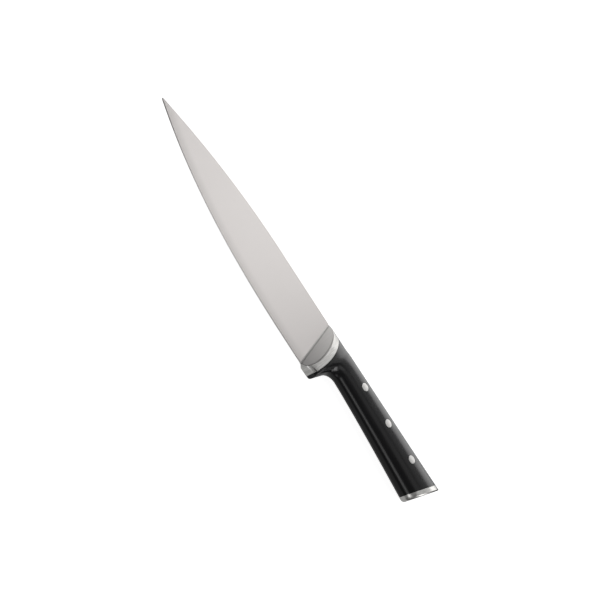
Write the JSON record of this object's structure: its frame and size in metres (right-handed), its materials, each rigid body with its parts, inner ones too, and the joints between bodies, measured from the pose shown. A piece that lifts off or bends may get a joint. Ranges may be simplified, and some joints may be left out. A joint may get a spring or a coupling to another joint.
{
  "type": "chef's knife",
  "caption": "Long kitchen knife with a pointed steel blade, steel bolster, riveted black handle and slanting steel end cap.",
  "frame": {"origin": "centre of the underside of the bounding box, with the knife lying on its right side", "axes": "+X from the tip to the butt, +Y from the cutting edge to the spine, +Z out of the left side, which is the side the picture shows"},
  "size_m": [0.3396, 0.044, 0.0187],
  "materials": {
    "satin_steel": "fine satin ground blade sides",
    "polished_steel": "polished, with a satin sloping front",
    "black_resin": "smooth moulded black resin, semi-gloss",
    "rivet_steel": "ground flush, fine satin"
  },
  "bodies": {
    "root": {"blade": "satin_steel", "bolster": "polished_steel", "handle_scale_left": "black_resin", "handle_scale_right": "black_resin", "rivet_tube_1": "rivet_steel", "rivet_tube_2": "rivet_steel", "rivet_tube_3": "rivet_steel", "rivet_pin_1": "rivet_steel", "rivet_pin_2": "rivet_steel", "rivet_pin_3": "rivet_steel", "end_cap": "polished_steel"}
  },
  "joints": []
}
